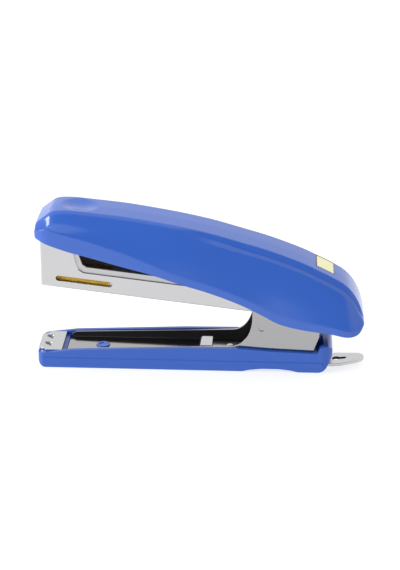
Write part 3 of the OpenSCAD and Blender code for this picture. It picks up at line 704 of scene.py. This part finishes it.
class STAPLER_OT_magazine(bpy.types.Operator):
    """Make the magazine, its staples and the pusher"""

    bl_idname = "stapler.magazine"
    bl_label = "Magazine"

    def execute(self, context):
        steel = context.scene.stapler_steel
        housing = [in_magazine(v.co) for v in frame["nodes"]["magazine_housing"].data.vertices]
        floor, width = min(p.z for p in housing), max(p.y for p in housing)
        front = min(v.co.x for v in frame["nodes"]["magazine_housing"].data.vertices) / MM

        def fold(edge):
            upright = all(abs(v.co.x / MM - front) < 0.6 and abs(abs(v.co.y / MM) - width) < 0.02
                          for v in edge.verts)
            return upright or long_fold(edge, floor, width)

        housing_piece = refined("magazine_housing", FINISH["nickel"], steel.edge, [(fold, steel.fold, 5)])
        # painted shade: the faces that look straight down get the black finish, so the underside reads dark
        paint(housing_piece, FINISH["black"], lambda at, normal: normal.z < -0.85)
        track = [in_magazine(v.co) for v in frame["nodes"]["staple_track"].data.vertices]
        track_floor, track_width = min(p.z for p in track), max(p.y for p in track)
        refined("staple_track", FINISH["satin"], steel.edge,
                [(lambda e: long_fold(e, track_floor, track_width), 0.4, 3)])
        refined("pusher", FINISH["satin"], 0.12)
        refined("rod_holder", FINISH["satin"], 0.15)
        refined("hinge_bush", FINISH["satin"], 0.12)
        refined("guide_rod", FINISH["nickel"], 0.2)
        self.staples(steel)
        self.coil(steel)
        return {"FINISHED"}

    def staples(self, steel):
        """A row of separate staples, each a bent wire, glued side by side."""
        strip = [in_magazine(v.co) for v in frame["nodes"]["staple_strip"].data.vertices]
        low = Vector([min(p[k] for p in strip) for k in range(3)])
        high = Vector([max(p[k] for p in strip) for k in range(3)])
        count = int((high.x - low.x) / steel.wire)
        radius = steel.wire / 2 * 0.97
        half, bend = high.y - radius, 0.35
        crown = high.z - radius
        path = [(half, low.z)]
        path += [(y, z) for y, z in arc(half - bend, crown - bend, bend, 0, 90, 4)]
        path += [(-y, z) for y, z in reversed(path)]
        bm = bmesh.new()
        for k in range(count):
            x = low.x + (k + 0.5) * (high.x - low.x) / count
            points = [IN_MAGAZINE @ (Vector((x, y, z)) * MM) for y, z in path]
            tube(bm, points, radius * MM, 8)
        mesh = finish_mesh(bm, "staple_row", 50)
        add_piece(mesh, "magazine", "staple_strip", FINISH["staple"])

    def coil(self, steel):
        """The pusher spring as one wound wire, with closed end turns."""
        rings = [in_magazine(v.co) for v in frame["nodes"]["pusher_spring"].data.vertices]
        start, end = min(p.x for p in rings), max(p.x for p in rings)
        axis = (max(p.z for p in rings) + min(p.z for p in rings)) / 2
        wire = steel.coil_wire
        radius = (max(p.z for p in rings) - min(p.z for p in rings)) / 2 - wire
        steps = steel.coil_turns * COIL_STEPS
        points = []
        for k in range(steps + 1):
            share = k / steps
            along = share - math.sin(2 * math.pi * share) * 0.06
            a = 2 * math.pi * steel.coil_turns * share
            at = Vector((mix(start + wire, end - wire, along), radius * math.cos(a),
                         axis + radius * math.sin(a)))
            points.append(IN_MAGAZINE @ (at * MM))
        bm = bmesh.new()
        tube(bm, points, wire * MM, 8)
        mesh = finish_mesh(bm, "pusher_coil", 60)
        add_piece(mesh, "pusher", "pusher_spring", FINISH["spring"])


# ---------------------------------------------------------------- base and handle steel

class STAPLER_OT_base(bpy.types.Operator):
    """Make the base shell, its steel channel and what is fixed to it"""

    bl_idname = "stapler.base"
    bl_label = "Base"

    def execute(self, context):
        steel = context.scene.stapler_steel
        shell_low, shell_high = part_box("base_shell")
        side = shell_high.y - 1 * MM
        nose, heel = shell_low.x + 2.5 * MM, shell_high.x - 4.2 * MM
        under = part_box("base_channel")

        def outer(edge):
            # the rims of the shell's outside, without the slot for the staple remover
            return all((abs(v.co.y) > side or v.co.x < nose or v.co.x > heel)
                       and (abs(v.co.y) > 5 * MM or v.co.z > 3 * MM) for v in edge.verts)

        def channel_fold(edge):
            return all(abs(v.co.z - under[0].z) < 0.02 * MM and abs(abs(v.co.y) - under[1].y) < 0.02 * MM
                       for v in edge.verts)

        refined("base_shell", FINISH["base_blue"], 0.2, [(outer, 0.75, 5)])
        channel = refined("base_channel", FINISH["mirror_steel"], 0.12, [(channel_fold, steel.fold, 5)])
        # painted shade: the inner faces of the channel's walls get the black finish
        paint(channel, FINISH["black"],
              lambda at, normal: normal.y * at.y < -0.9 * abs(at.y) and abs(at.y) > 5)
        refined("anvil_plate", FINISH["nickel"], 0.14)
        refined("channel_stud", FINISH["blue"], 0.3, segments=3)
        refined("return_spring", FINISH["nickel"], 0.1)
        remover = refined("staple_remover", FINISH["nickel"], 0.22, segments=3)
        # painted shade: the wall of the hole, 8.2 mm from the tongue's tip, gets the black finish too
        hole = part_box("staple_remover")[1].x / MM - 8.2
        paint(remover, FINISH["black"],
              lambda at, normal: abs(normal.z) < 0.8 and math.hypot(at.x - hole, at.y) < 3)
        refined("spring_rivet", FINISH["nickel"], 0.2, segments=3)
        refined("remover_rivet", FINISH["satin"], 0.2)
        refined("hinge_pin", FINISH["nickel"], 0.3, segments=3)
        refined("pin_clips", FINISH["black"], 0.12)
        return {"FINISHED"}


class STAPLER_OT_arm(bpy.types.Operator):
    """Make the steel arm, the driver and the spring inside the handle"""

    bl_idname = "stapler.arm"
    bl_label = "Handle steel"

    def execute(self, context):
        steel = context.scene.stapler_steel
        refined("handle_arm", FINISH["black"], steel.edge)
        refined("driver_blade", FINISH["satin"], steel.edge)
        refined("blade_rivets", FINISH["nickel"], 0.15)
        refined("handle_spring", FINISH["spring"], steel.edge)
        refined("handle_spring_rivet", FINISH["nickel"], 0.15)
        refined("cover_studs", FINISH["blue"], 0.25)
        return {"FINISHED"}


# ---------------------------------------------------------------- stage

class STAPLER_OT_stage(bpy.types.Operator):
    """Make the floor, the lights, the sky and the camera"""

    bl_idname = "stapler.stage"
    bl_label = "Stage"

    def execute(self, context):
        settings = context.scene.stapler_stage
        self.floor(settings)
        self.sky(context, settings)
        self.camera(context, settings)
        self.lamp("side_light", Vector((-0.8, -0.35, 0.45)), 0.35, settings.lamp)
        context.scene.view_settings.view_transform = "Standard"
        return {"FINISHED"}

    def floor(self, settings):
        """A wide pale table, just under the base."""
        bm = bmesh.new()
        bmesh.ops.create_grid(bm, x_segments=1, y_segments=1, size=4.0)
        mesh = bpy.data.meshes.new("floor")
        bm.to_mesh(mesh)
        bm.free()
        floor = bpy.data.objects.new("floor", mesh)
        bpy.context.scene.collection.objects.link(floor)
        floor.location.z = -0.0002
        table = make_finish(
            "Pale table", [0.35, 0.35, 0.35], 0.0, 0.55, smudge=0.05, scratch=0.0, bump=0.01, tone=0.01)
        glow = table.node_tree.nodes["Principled BSDF"]
        glow.inputs["Emission Color"].default_value = (1, 1, 1, 1)
        glow.inputs["Emission Strength"].default_value = settings.glow
        mesh.materials.append(table)

    def lamp(self, name, place, size, power):
        """A square lamp that faces the stapler, size in metres and power in watts."""
        light = bpy.data.lights.new(name, "AREA")
        light.size = size
        light.energy = power
        lamp = bpy.data.objects.new(name, light)
        bpy.context.scene.collection.objects.link(lamp)
        lamp.location = place
        lamp.rotation_euler = (-place).to_track_quat("-Z", "Y").to_euler()

    def sky(self, context, settings):
        """A white studio with one dark side, fixed in the room at -Y."""
        world = bpy.data.worlds.new("studio")
        context.scene.world = world
        world.use_nodes = True
        nodes, links = world.node_tree.nodes, world.node_tree.links
        place = nodes.new("ShaderNodeTexCoord").outputs["Generated"]
        facing = nodes.new("ShaderNodeVectorMath")
        facing.operation = "DOT_PRODUCT"
        links.new(place, facing.inputs[0])
        facing.inputs[1].default_value = Vector((0.0, -1.0, 0.42)).normalized()
        ramp = nodes.new("ShaderNodeMapRange")
        ramp.interpolation_type = "SMOOTHSTEP"
        ramp.inputs["From Min"].default_value = 0.72
        ramp.inputs["From Max"].default_value = 0.9
        ramp.inputs["To Min"].default_value = settings.sky
        ramp.inputs["To Max"].default_value = settings.card
        links.new(facing.outputs["Value"], ramp.inputs["Value"])
        links.new(ramp.outputs[0], nodes["Background"].inputs["Strength"])
        nodes["Background"].inputs["Color"].default_value = (1, 1, 1, 1)

    def camera(self, context, settings):
        """A long lens at the side, a little above the stapler and towards its rear."""
        lens = bpy.data.cameras.new("camera")
        lens.lens = settings.lens
        lens.clip_start = 0.01
        camera = bpy.data.objects.new("camera", lens)
        context.scene.collection.objects.link(camera)
        low, high = CAD_BOX
        target = Vector((mix(low.x, high.x, settings.aim[0]), 0.0, mix(low.z, high.z, settings.aim[1])))
        rise, turn = math.radians(settings.elevation), math.radians(settings.turn)
        away = Vector((math.cos(rise) * math.sin(turn), -math.cos(rise) * math.cos(turn), math.sin(rise)))
        camera.location = target + away * settings.distance
        camera.rotation_euler = (-away).to_track_quat("-Z", "Y").to_euler()
        context.scene.camera = camera


# ---------------------------------------------------------------- panel and main

STEPS = ["finishes", "cover", "magazine", "base", "arm", "stage"]


class STAPLER_PT_panel(bpy.types.Panel):
    """Lists the stapler's settings and steps in the sidebar"""

    bl_label = "Stapler"
    bl_idname = "STAPLER_PT_panel"
    bl_space_type = "VIEW_3D"
    bl_region_type = "UI"
    bl_category = "Stapler"

    def draw(self, context):
        for group in (context.scene.stapler_cover, context.scene.stapler_steel, context.scene.stapler_stage):
            box = self.layout.box()
            for name in group.bl_rna.properties.keys():
                if name not in ("rna_type", "name"):
                    box.prop(group, name)
        for step in STEPS:
            self.layout.operator("stapler." + step)


CLASSES = [
    CoverSettings, SteelSettings, StageSettings, STAPLER_OT_finishes, STAPLER_OT_cover,
    STAPLER_OT_magazine, STAPLER_OT_base, STAPLER_OT_arm, STAPLER_OT_stage, STAPLER_PT_panel]


def register():
    for cls in CLASSES:
        bpy.utils.register_class(cls)
    bpy.types.Scene.stapler_cover = PointerProperty(type=CoverSettings)
    bpy.types.Scene.stapler_steel = PointerProperty(type=SteelSettings)
    bpy.types.Scene.stapler_stage = PointerProperty(type=StageSettings)


def unregister():
    del bpy.types.Scene.stapler_stage
    del bpy.types.Scene.stapler_steel
    del bpy.types.Scene.stapler_cover
    for cls in reversed(CLASSES):
        bpy.utils.unregister_class(cls)


def main():
    register()
    for step in STEPS:
        getattr(bpy.ops.stapler, step)()


if __name__ == "__main__":
    main()
